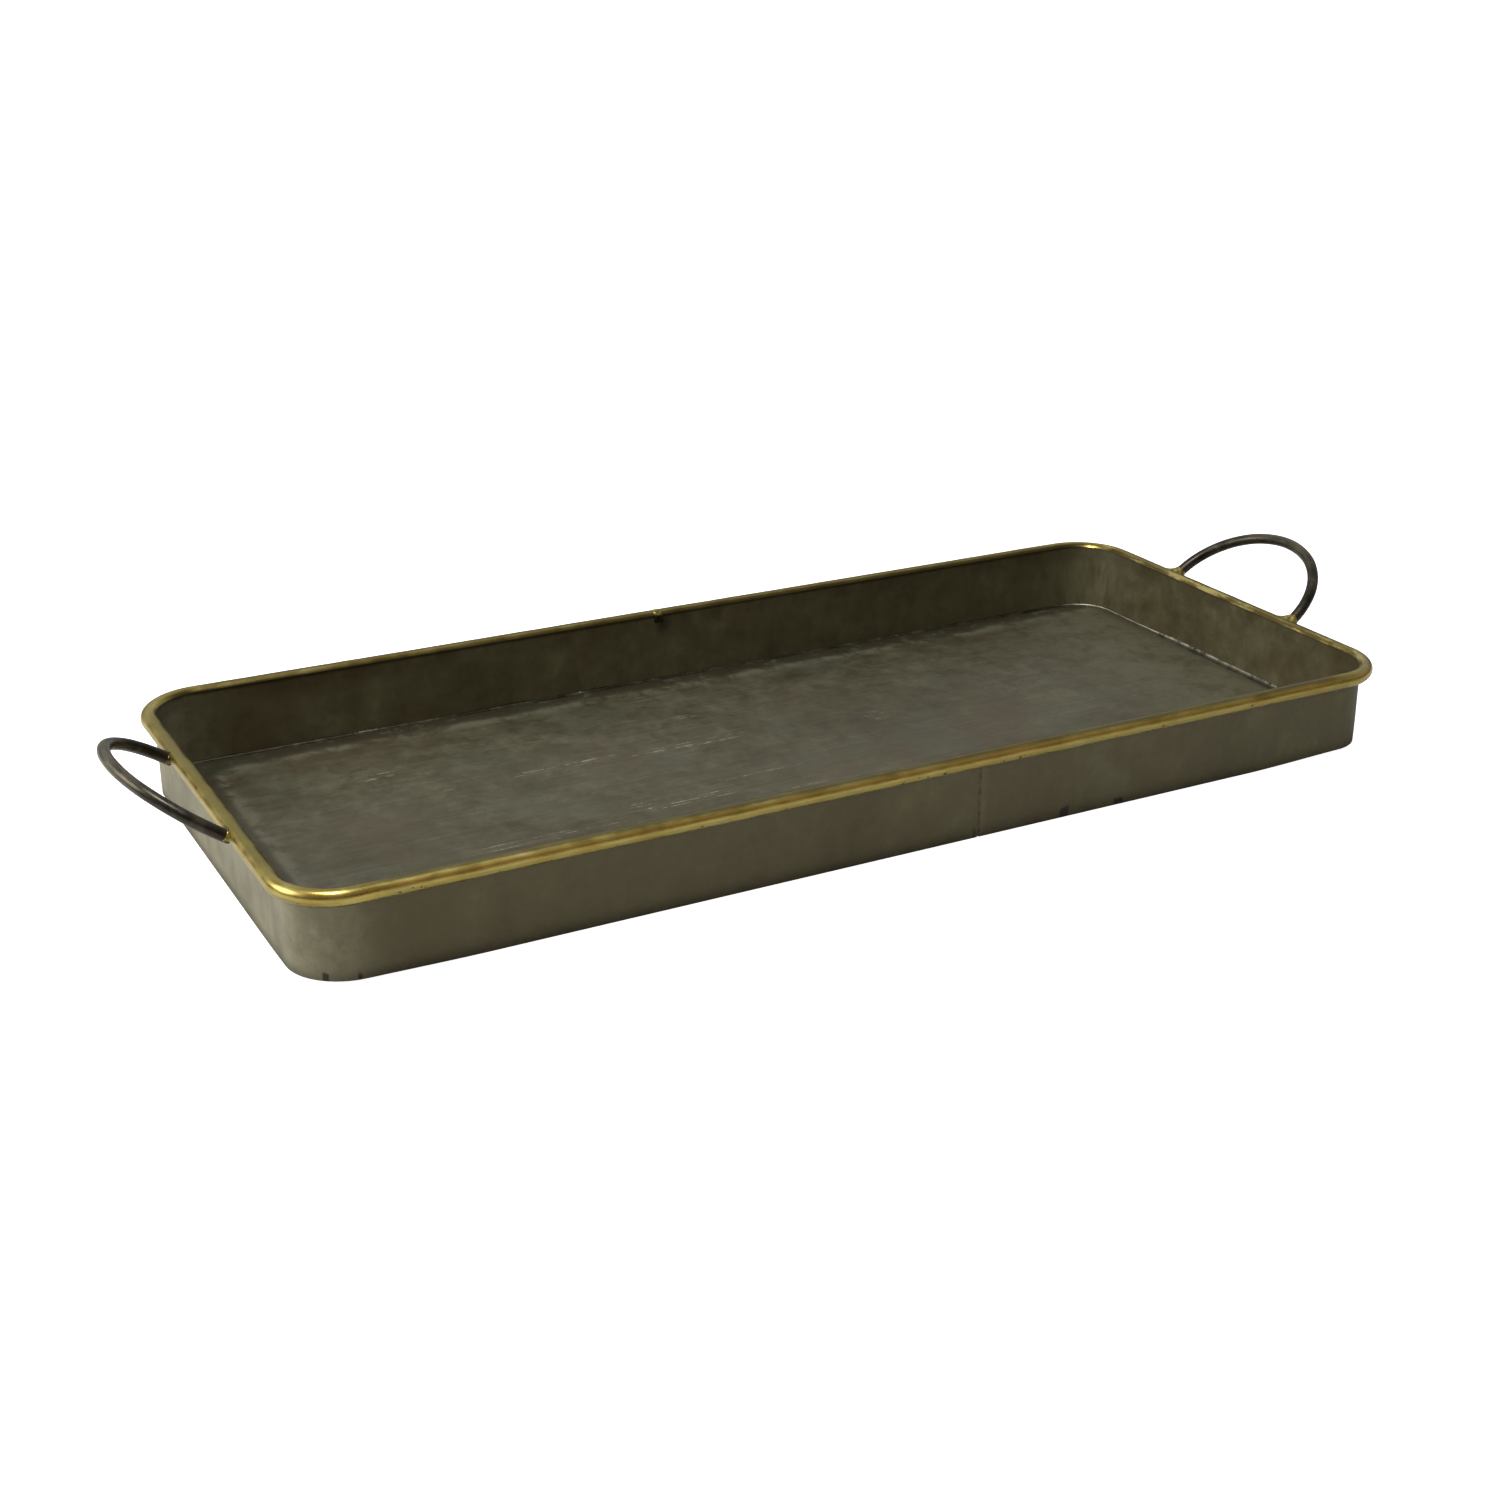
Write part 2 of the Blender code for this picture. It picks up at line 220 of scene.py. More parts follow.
def closed_outline():
    """Stations once round with no end, matched across the tray's long axis."""
    run = []
    for cx, cy, first in [(1, FRONT, -90), (1, BACK, 0), (-1, BACK, 90), (-1, FRONT, 180)]:
        run += corner_stations(cx, cy, first)
        if cx == -cy:
            run += short_side(cx, cy * STRAIGHT_Y, -cy * STRAIGHT_Y)
        else:
            run += long_side(cx * STRAIGHT_X, -cx * STRAIGHT_X, cy)[1:-1]
    return run


def at_station(station, inset, z):
    """(point, outward normal) of a station, inset inside the bead's centre line."""
    kind, x, y, sx, sy, c, s = station
    if kind == "long":
        return Vector((x, sy * (HALF_Y - inset), z)), Vector((0, sy, 0))
    if kind == "short":
        return Vector((sx * (HALF_X - inset), y, z)), Vector((sx, 0, 0))
    front_left = (sx, sy) == (-1, FRONT)
    top_radius = TIGHT_CORNER_R if front_left else CORNER_R
    base_radius = ROUND_FOOT_R if front_left else CORNER_R_BASE
    radius = base_radius + (top_radius - base_radius) * z / BEAD_Z
    cx, cy = sx * (HALF_X - radius), sy * (HALF_Y - radius)
    return Vector((cx + (radius - inset) * c, cy + (radius - inset) * s, z)), Vector((c, s, 0))


def arc_lengths(stations):
    """Distance along the bead's centre line of each station from the first."""
    total, out, before = 0.0, [], None
    for station in stations:
        here = at_station(station, 0.0, BEAD_Z)[0]
        total += (here - before).length if before else 0.0
        out.append(total)
        before = here
    return out


def wall_inset(z):
    return WALL_INSET_TOP + (WALL_INSET_BASE - WALL_INSET_TOP) * (1 - z / BEAD_Z)


def levels(top, bottom, pitch):
    """Heights from top to bottom, both included."""
    count = max(1, round((top - bottom) / pitch))
    return [top + (bottom - top) * i / count for i in range(count + 1)]


def arc(x, z, radius, first, last, steps):
    """Points of an arc in a section's plane."""
    angles = [math.radians(first + (last - first) * i / steps) for i in range(steps + 1)]
    return [(x + radius * math.cos(a), z + radius * math.sin(a)) for a in angles]


def smooth(value, low, high):
    share = min(1.0, max(0.0, (value - low) / (high - low)))
    return share * share * (3 - 2 * share)


def drawn_up(point):
    """The same point where the folded foot has been drawn up off the ground at the corners."""
    near_end = smooth(abs(point.x), 0.70 * HALF_X, 0.97 * HALF_X)
    near_side = smooth(abs(point.y), 0.50 * HALF_Y, HALF_Y)
    rise = FRONT_LEFT_RISE if point.x < 0 and point.y < 0 else HEM_RISE
    lift = rise * near_end * near_side * max(0.0, 1 - point.z / FLOOR_TOP)
    return point + Vector((0, 0, lift))


# Wall band


def wall_swell(point):
    """How far the hand-bent wall bulges outwards: nothing at rim and foot, where it is held."""
    free = math.sin(math.pi * min(1.0, max(0.0, point.z / (BEAD_Z - BEAD_R))))
    return free * ripples(point, WALL_SWELL)


def leaned(point):
    """The place moved sideways with the seam, which is not quite upright."""
    share = smooth(-abs(point.x - SEAM_X), -28 * MM, -13 * MM) if point.y < 0 else 0.0
    return point + Vector((share * SEAM_LEAN * (0.5 - point.z / BEAD_Z), 0, 0))


def build_wall(material):
    slot_far = 2 * (SHEET + GAP)
    hem = slot_far + SHEET
    ease = 0.7 * MM
    lap_levels = levels(WALL_TOP, LAP_BOTTOM, 1.6 * MM)
    foot_levels = levels(LAP_BOTTOM, ease, 1.6 * MM)[1:]
    profile = [(0.0, z) for z in lap_levels + foot_levels]
    profile += arc(ease, ease, ease, 180, 270, 4)[1:] + arc(hem - ease, ease, ease, 270, 360, 4)
    profile += [(hem, HEM_LEG), (slot_far, HEM_LEG), (slot_far, SHEET), (SHEET, SHEET)]
    profile += [(SHEET, z) for z in foot_levels[::-1][1:] + lap_levels[::-1]]
    near, far = SEAM_X + SEAM_GROOVE / 2, SEAM_X - SEAM_GROOVE / 2
    stations = outline_from(FRONT, near, far)
    along = arc_lengths(stations)
    points, own = [], []
    for station, s in zip(stations, along):
        for offset, z in profile:
            at, normal = at_station(station, wall_inset(z) + offset, z)
            middle = at_station(station, wall_inset(z), z)[0]
            points.append(drawn_up(at + normal * wall_swell(middle)))
            own.append((s, z, offset))
    columns, lap = len(profile), len(lap_levels)
    faces = grid_faces(len(stations), columns)
    faces.append(tuple(range(columns)))
    # At the far end the foot is capped, and the rest steps in behind the near end as the lap's tab.
    last = len(points) - columns
    faces.append(tuple(range(last + lap - 1, last + columns - lap + 1)))
    edge = list(range(last, last + lap)) + list(range(last + columns - lap, last + columns))
    step_in = SHEET + GAP
    rows = [(far + 0.3 * MM, 0.12), (far + 0.8 * MM, 0.6), (near - 0.4 * MM, 0.97), (near, 1.0)]
    rows += [(near + SEAM_LAP * i / 4, 1.0) for i in range(1, 5)]
    root = [points[i] for i in edge]
    before = edge
    for x, share in rows:
        row = list(range(len(points), len(points) + len(edge)))
        for start, i in zip(root, edge):
            points.append(Vector((x, start.y + share * step_in, start.z)))
            own.append((along[-1] + x - far, own[i][1], own[i][2]))
        for k in range(len(edge)):
            j = (k + 1) % len(edge)
            faces.append((before[k], row[k], row[j], before[j]))
        before = row
    faces.append(tuple(before))
    made = make_mesh("wall_sheet", [leaned(point) for point in points], faces, own)
    return finish_piece(made, ["wall_band"], material)


# Floor pan


def floor_sag(x, y):
    """Height of the slightly uneven floor over its plane."""
    inside = min(HALF_X - abs(x), HALF_Y - abs(y)) - WALL_INSET_BASE
    return smooth(inside, 5 * MM, 35 * MM) * ripples((x, y, 0.0), FLOOR_SAG)


def build_floor(material):
    outer = SHEET + GAP
    inner = outer + SHEET
    bend = outer + FLANGE_BEND
    straight = FLOOR_TOP - FLANGE_BEND
    stations = closed_outline()
    spine_x = HALF_X - HALF_Y
    spread = [0.0, 0.02, 0.05] + [0.05 + 0.95 * ((i + 1) / 34) for i in range(34)]
    top = [(t, FLOOR_TOP) for t in spread[::-1]]
    bottom = [(t, FLOOR_TOP - SHEET) for t in spread]
    edge = [(bend - FLANGE_BEND * math.cos(a), straight + FLANGE_BEND * math.sin(a))
            for a in (math.radians(d) for d in (75, 60, 45, 30, 15, 0))]
    edge += [(outer, 4 * MM), (outer, SHEET + GAP), (inner, SHEET + GAP), (inner, 4 * MM)]
    small = FLANGE_BEND - SHEET
    edge += [(bend - small * math.cos(a), straight + small * math.sin(a))
             for a in (math.radians(d) for d in (0, 22, 45, 67))]
    points = []
    for station in stations:
        rim_point = at_station(station, wall_inset(FLOOR_TOP) + bend, FLOOR_TOP)[0]
        middle = Vector((rim_point.x * spine_x / HALF_X, 0, 0))
        rows = []
        for t, z in top:
            rows.append(Vector((rim_point.x, rim_point.y, z)).lerp(Vector((middle.x, 0, z)), t))
        for offset, z in edge:
            rows.append(at_station(station, wall_inset(z) + offset, z)[0])
        for t, z in bottom:
            rows.append(Vector((rim_point.x, rim_point.y, z)).lerp(Vector((middle.x, 0, z)), t))
        for p in rows:
            if p.z > straight + small:
                p.z += floor_sag(p.x, p.y)
        points += [drawn_up(p) for p in rows]
    columns = len(top) + len(edge) + len(bottom)
    faces = grid_faces(len(stations), columns, wrap_rows=True, wrap_columns=False)
    made = make_mesh("floor_sheet", points, faces, points)
    bm = bmesh.new()
    bm.from_mesh(made.data)
    bmesh.ops.remove_doubles(bm, verts=bm.verts, dist=0.02 * MM)
    bmesh.ops.dissolve_degenerate(bm, dist=0.005 * MM, edges=bm.edges)
    bmesh.ops.recalc_face_normals(bm, faces=bm.faces[:])
    bm.to_mesh(made.data)
    bm.free()
    made.data.shade_smooth()
    made.data.set_sharp_from_angle(angle=math.radians(40))
    return finish_piece(made, ["floor_pan"], material)


# Rim bead and the braze over its joint


def bead_shift(point):
    """The hand-closed bead isn't quite straight or quite even: (sideways, up, change of radius)."""
    return ripples(point, BEAD_SIDEWAYS), ripples(point, BEAD_UP), ripples(point, BEAD_SWELL)


def build_bead(material):
    bore = BEAD_R - SHEET
    slot = wall_inset(BEAD_Z - BEAD_R) - 0.05 * MM
    lower_outside = -180 + math.degrees(math.acos(slot / BEAD_R))
    lower_inside = -180 + math.degrees(math.acos(slot / bore))
    lip_outside = 180 - math.degrees(math.asin((LIP_HEIGHT - GAP) / BEAD_R))
    lip_inside = 180 - math.degrees(math.asin((LIP_HEIGHT - GAP) / bore))
    steps = 44
    section = [(math.radians(lower_outside + (lip_outside - lower_outside) * i / steps), BEAD_R)
               for i in range(steps + 1)]
    section += [(math.radians(lip_inside + (lower_inside - lip_inside) * i / 12), bore) for i in range(13)]
    stations = outline_from(BACK, JOINT_X - 0.05 * MM, JOINT_X + 0.05 * MM)
    along = arc_lengths(stations)
    points, own = [], []
    for station, s in zip(stations, along):
        centre, normal = at_station(station, 0.0, BEAD_Z)
        side, up, size = bead_shift(centre)
        edge_turn = ripples((s, 0, 0), BEAD_EDGE_TURN)
        for a, radius in section:
            fine = ripples((s, a * BEAD_R, 0), BEAD_FINE) if radius == BEAD_R else 0.0
            reach = radius + size + fine
            a += edge_turn * smooth(-a, 0.4, -section[0][0])
            outwards = reach * math.cos(a) + side
            points.append(centre + normal * outwards + Vector((0, 0, reach * math.sin(a) + up)))
            own.append((s, a * BEAD_R, 0))
    columns = len(section)
    faces = grid_faces(len(stations), columns) + end_caps(points, columns)
    made = make_mesh("rim_brass", points, faces, own)
    return finish_piece(made, ["rim_bead"], material)


def build_joint(material):
    """A low, uneven lump of braze over the bead's joint."""
    rows, columns = 22, 40
    points, own = [], []
    base = Vector((JOINT_X, HALF_Y, BEAD_Z))
    side, up, size = bead_shift(base)
    base += Vector((0, side, up))
    for r in range(rows):
        t = -1 + 2 * r / (rows - 1)
        for c in range(columns):
            a = 2 * math.pi * c / columns
            top = max(0.0, math.cos(a - math.radians(105)) + 0.25)
            height = JOINT_HEIGHT * top * max(0.0, 1 - t * t) ** 0.7
            height *= 1 + 0.35 * ripple((t * 3, a * 2, 0), 1.4, 21.0)
            reach = BEAD_R + size - SINK + height
            points.append(base + Vector((t * JOINT_HALF, reach * math.cos(a), reach * math.sin(a))))
            own.append((t * JOINT_HALF, a * BEAD_R, 0))
    faces = grid_faces(rows, columns) + end_caps(points, columns)
    made = make_mesh("joint_braze", points, faces, own, sharp=60)
    return finish_piece(made, ["rim_joint_braze"], material)


# Handles and the braze at their roots


def handle_frame(word):
    """(middle of the roots, outward direction with its length, unit outward direction, unit normal)"""
    end, root_z, rise = HANDLES[word]
    middle = Vector((end * HANDLE_ROOT_X, HANDLE_Y, root_z))
    outwards = Vector((end * HANDLE_REACH, 0, rise))
    normal = outwards.cross(Vector((0, 1, 0))).normalized()
    return middle, outwards, outwards.normalized(), normal


def build_handle(word, material):
    middle, outwards, out, normal = handle_frame(word)
    end = HANDLES[word][0]
    across = Vector((0, HANDLE_HALF_SPAN, 0))
    steps, sides = 110, 32
    stub = out * 2.6 * MM
    spine = [(middle + across - stub, out), (middle + across - stub * 0.5, out)]
    for i in range(steps + 1):
        t = math.pi * i / steps
        tangent = outwards * math.cos(t) - across * math.sin(t)
        spine.append((middle + across * math.cos(t) + outwards * math.sin(t), tangent.normalized()))
    spine += [(middle - across - stub * 0.5, -out), (middle - across - stub, -out)]
    points, own, s, before = [], [], 0.0, None
    for point, tangent in spine:
        s += (point - before).length if before else 0.0
        before = point
        sideways = tangent.cross(normal)
        wander = ripples((s, end, 0), ROD_WANDER)
        for i in range(sides):
            a = 2 * math.pi * i / sides
            d = normal * math.cos(a) + sideways * math.sin(a)
            flat = ripples((s, 4 * MM * math.cos(a), 4 * MM * math.sin(a) + end), ROD_FLATS)
            points.append(point + normal * wander + d * (ROD_R - 0.04 * MM + flat))
            own.append((s, a * ROD_R, 0.1 * end))
    faces = grid_faces(len(spine), sides) + end_caps(points, sides)
    made = make_mesh("rod_" + word, points, faces, own, sharp=60)
    return finish_piece(made, ["handle_" + word], material)


def build_root_braze(word, place_word, near, material):
    """Braze that has flowed from the rod's end out along the bead, as a hollow flare."""
    middle, _, out, normal = handle_frame(word)
    end = HANDLES[word][0]
    climb_mean, least, to_front, to_back = ROOT_FLOW[word]
    root = middle + Vector((0, near * HANDLE_HALF_SPAN, 0))
    rim_x, seed = end * HALF_X, 40.0 + end * 3 + near
    rows, columns = 18, 48
    points, own = [], []
    for r in range(rows + 1):
        q = r / rows
        for c in range(columns):
            a = 2 * math.pi * c / columns
            d = Vector((0, math.cos(a), 0)) + normal * math.sin(a)
            backwards = 0.5 + 0.5 * math.cos(a)
            lumps = ripple((math.cos(a), math.sin(a), 0), 0.9, seed)
            climb = climb_mean * (0.75 + 0.5 * backwards + 0.3 * lumps)
            reach = (to_back if math.cos(a) > 0 else to_front) * math.cos(a) ** 2
            spread = least + reach * (1 + 0.2 * lumps)
            top = root + out * climb + d * (ROD_R - 0.10 * MM)
            knee = root + out * 0.2 * MM + d * (ROD_R + 0.12 * spread)
            foot = root + d * (ROD_R + spread) - out * 1.5 * MM
            from_bead = Vector((foot.x - rim_x, 0, foot.z - BEAD_Z)).normalized()
            foot = Vector((rim_x, foot.y, BEAD_Z)) + from_bead * (BEAD_R - SINK)
            p = top.lerp(knee, q).lerp(knee.lerp(foot, q), q)
            swell = 0.13 * MM * math.sin(math.pi * q) * ripple(p, 0.0016, seed)
            points.append(p + (p - root - out * (p - root).dot(out)).normalized() * swell)
            own.append((a * ROD_R, q * 5 * MM, 0))
    top_cap, foot_cap = len(points), len(points) + 1
    points += [root + out * 0.6 * MM, Vector((rim_x, root.y, BEAD_Z))]
    own += [(0, 0, 0), (0, 0, 0)]
    faces = grid_faces(rows + 1, columns)
    for c in range(columns):
        d = (c + 1) % columns
        faces.append((c, d, top_cap))
        faces.append((rows * columns + d, rows * columns + c, foot_cap))
    name = f"braze_flare_{word}_{place_word}"
    made = make_mesh(name, points, faces, own, sharp=70)
    return finish_piece(made, [f"braze_{word}_{place_word}"], material)


# Solder


def build_floor_solder(material):
    """Solder in the corner between floor and wall: hollow, uneven, and heaviest at the right end."""
    stations = closed_outline()
    along = arc_lengths(stations)
    wall_side = SHEET - 0.05 * MM
    points, own = [], []
    for station, s in zip(stations, along):
        here = at_station(station, 0.0, 0.0)[0]
        heavy = smooth(here.x, 0.93 * HALF_X, 0.99 * HALF_X)
        heavy *= smooth(-abs(here.y + 15 * MM), -105 * MM, -30 * MM)
        width = SOLDER_LEG + HEAVY_LEG * heavy + ripples(here, LEG_RIPPLE)
        height = SOLDER_RISE + HEAVY_RISE * heavy + ripples(here, RISE_RIPPLE)
        low = FLOOR_TOP - 0.5 * MM
        section = [(wall_side, low, 0.0), (wall_side + width, low, 0.0)]
        for i in range(9):
            q = i / 8
            x = wall_side + width * (1 - q) ** 2.2
            z = FLOOR_TOP - 0.02 * MM + height * q ** 2.2 + 0.12 * MM * math.sin(math.pi * q)
            section.append((x, z, q))
        for offset, z, q in section:
            points.append(at_station(station, wall_inset(z) + offset, z)[0])
            own.append((s, offset, q))
    faces = grid_faces(len(stations), len(section), wrap_rows=True)
    made = make_mesh("solder_fillet", points, faces, own, sharp=60)
    return finish_piece(made, ["floor_solder"], material)


def build_seam_solder(material):
    """The dull line of solder in the lap seam's groove."""
    half = SEAM_GROOVE / 2
    points, own = [], []
    heights = levels(BEAD_Z - 0.5 * BEAD_R, 0.6 * MM, 0.7 * MM)
    for z in heights:
        face = -(HALF_Y - wall_inset(z)) - wall_swell(Vector((SEAM_X, -HALF_Y + wall_inset(z), z)))
        deep = SEAM_SINK + ripples((0, 0, z), SEAM_RIPPLE)
        ring = [(-half - 0.1 * MM, 0.55 * MM), (-half * 1.05, deep * 0.3), (-half * 0.3, deep * 1.1),
                (half * 0.4, deep), (half * 1.05, deep * 0.2), (half + 0.1 * MM, 0.45 * MM),
                (half * 0.5, 0.75 * MM), (-half * 0.5, 0.75 * MM)]
        for x, depth in ring:
            points.append(Vector((SEAM_X + x, face + depth, z)))
            own.append((x, z, depth))
    faces = grid_faces(len(heights), len(ring)) + end_caps(points, len(ring))
    made = make_mesh("solder_seam", [leaned(point) for point in points], faces, own, sharp=60)
    return finish_piece(made, ["seam_solder"], material)


# ---------------------------------------------------------------------------------------------------
# Materials


class Graph:
    """Short names for building a material's nodes."""

    def __init__(self, name, metallic, specular=0.5):
        self.material = bpy.data.materials.new(name)
        self.material.use_nodes = True
        self.tree = self.material.node_tree
        self.shader = self.tree.nodes["Principled BSDF"]
        self.shader.inputs["Metallic"].default_value = metallic
        self.shader.inputs["Specular IOR Level"].default_value = specular

    def put(self, kind, values, output=0, **settings):
        """Adds a node, sets its properties, and sets or links its inputs by name or number."""
        made = self.tree.nodes.new("ShaderNode" + kind)
        for key, value in settings.items():
            setattr(made, key, value)
        for key, value in values.items():
            if isinstance(value, bpy.types.NodeSocket):
                self.tree.links.new(value, made.inputs[key])
            else:
                made.inputs[key].default_value = value
        return made.outputs[output]

    def place(self):
        return self.put("TexCoord", {}, "Object")

    def own(self):
        return self.put("Attribute", {}, "Vector", attribute_name="own")

    def stretch(self, vector, scale):
        return self.put("Mapping", {"Vector": vector, "Scale": scale})

    def noise(self, vector, scale, detail=4.0, rough=0.55, twist=0.0):
        values = {"Vector": vector, "Scale": scale, "Detail": detail}
        values |= {"Roughness": rough, "Distortion": twist}
        return self.put("TexNoise", values, "Fac")

    def part(self, vector, axis):
        return self.put("SeparateXYZ", {"Vector": vector}, axis)

    def math(self, operation, a, b=0.0, c=0.0):
        return self.put("Math", {0: a, 1: b, 2: c}, operation=operation)

    def times(self, a, b):
        return self.math("MULTIPLY", a, b)

    def off(self, value, centre):
        """How far value is from centre."""
        return self.math("ABSOLUTE", self.math("SUBTRACT", value, centre))

    def swing(self, value, amount, around=0.0):
        """Noise as a swing about a value, by up to half the amount either way."""
        return self.math("MULTIPLY_ADD", self.math("SUBTRACT", value, 0.5), amount, around)

    def weigh(self, first, *rest):
        """The sum of (value, weight) pairs."""
        value, weight = first
        if not rest:
            return self.times(value, weight)
        return self.math("MULTIPLY_ADD", value, weight, self.weigh(*rest))

    def span(self, value, low, high, to_low=0.0, to_high=1.0):
        """value from low..high to to_low..to_high, smooth and clamped."""
        values = {"Value": value, 1: low, 2: high, 3: to_low, 4: to_high}
        return self.put("MapRange", values, interpolation_type="SMOOTHSTEP")

    def towards(self, value, edge, far, close, to_far=0.0, to_close=1.0):
        """Changes as value nears an edge, from far to close mm short of it, on the side nearer the middle."""
        side = MM if edge > 0 else -MM
        return self.span(value, edge - side * far, edge - side * close, to_far, to_close)

    def mix(self, share, a, b):
        """Colours mixed by share."""
        made = self.tree.nodes.new("ShaderNodeMix")
        made.data_type = "RGBA"
        for socket, value in ((made.inputs[0], share), (made.inputs[6], a), (made.inputs[7], b)):
            if isinstance(value, bpy.types.NodeSocket):
                self.tree.links.new(value, socket)
            elif socket is made.inputs[0]:
                socket.default_value = value
            else:
                socket.default_value = (*value, 1.0)
        return made.outputs[2]

    def tint(self, colour, other, share, strength=1.0):
        """The colour mixed towards another, a socket or display values, by share times strength."""
        share = share if strength == 1.0 else self.times(share, strength)
        return self.mix(share, colour, srgb(*other) if isinstance(other, tuple) else other)

    def ramp(self, value, *stops):
        made = self.tree.nodes.new("ShaderNodeValToRGB")
        self.tree.links.new(value, made.inputs[0])
        elements = made.color_ramp.elements
        while len(elements) < len(stops):
            elements.new(0.5)
        for element, (position, colour) in zip(elements, stops):
            element.position = position
            element.color = (*colour, 1.0)
        return made.outputs[0]

    def tones(self, value, *stops):
        """A ramp whose colours are display values."""
        return self.ramp(value, *((position, srgb(*colour)) for position, colour in stops))

    def bump(self, height, distance, strength):
        return self.put("Bump", {"Height": height, "Distance": distance, "Strength": strength})

    def finish(self, colour, roughness, normal=None):
        for socket, value in (("Base Color", colour), ("Roughness", roughness), ("Normal", normal)):
            if value is not None:
                self.tree.links.new(value, self.shader.inputs[socket])
        return self.material


def srgb(red, green, blue):
    """Linear colour from display values 0 to 255."""
    return tuple(c / 12.92 if c <= 0.04045 else ((c + 0.055) / 1.055) ** 2.4
                 for c in (v / 255 for v in (red, green, blue)))


# Patches of the floor that are scuffed along the tray, and dull spots: middle and half size, in mm
SCRATCHED = (
    (-201, 66, 15, 5), (-38, 67, 30, 3), (-110, 34, 34, 4), (-38, 30, 40, 6), (-68, -31, 34, 9),
    (-160, -43, 54, 4), (-20, -20, 28, 3), (-30, -46, 52, 4), (74, 20, 7, 8), (150, -58, 30, 5),
)
DULL_SPOTS = ((262, -14, 13, 16), (-262, 80, 12, 16), (-120, 92, 46, 9), (72, 95, 34, 9))
# Rust spots along the foot of the front and round its left corner: place and half width, in mm
RUST_SPOTS = ((93.5, 3.6), (127.5, 3.6), (-286.5, 1.5), (-273.0, 1.2))
# The floor's rubbed middle ends at these lines, in a border whose corner is this round
RUBBED_LEFT, RUBBED_BACK, RUBBED_ROUND = -272 * MM, 113 * MM, 30 * MM
# Painted light: the floor is painted paler towards its right end, to lift the right wall's shade on it
FLOOR_PAINTED_LIGHT_FROM, FLOOR_PAINTED_LIGHT_TO = 190 * MM, 270 * MM  # the floor grows paler towards its right end
WALL_CORNER_ROUND = 20 * MM
# The painted highlight band on the bead lies at this angle
HIGHLIGHT_BAND_ANGLE = 28  # degrees above the bead's outermost line


def patches(g, place, spots):
    """How far a place lies inside the nearest of the spots: 1 at its middle, 0 from its edge outwards."""
    x, y = g.part(place, "X"), g.part(place, "Y")
    best = None
    for spot_x, spot_y, half_x, half_y in spots:
        across = g.times(g.math("SUBTRACT", x, spot_x * MM), 1.0 / (half_x * MM))
        down = g.times(g.math("SUBTRACT", y, spot_y * MM), 1.0 / (half_y * MM))
        away = g.math("ADD", g.times(across, across), g.times(down, down))
        best = away if best is None else g.math("MINIMUM", best, away)
    return g.span(g.swing(g.noise(place, 60.0, 5.0, 0.6), 2.4, best), 1.1, 0.2)


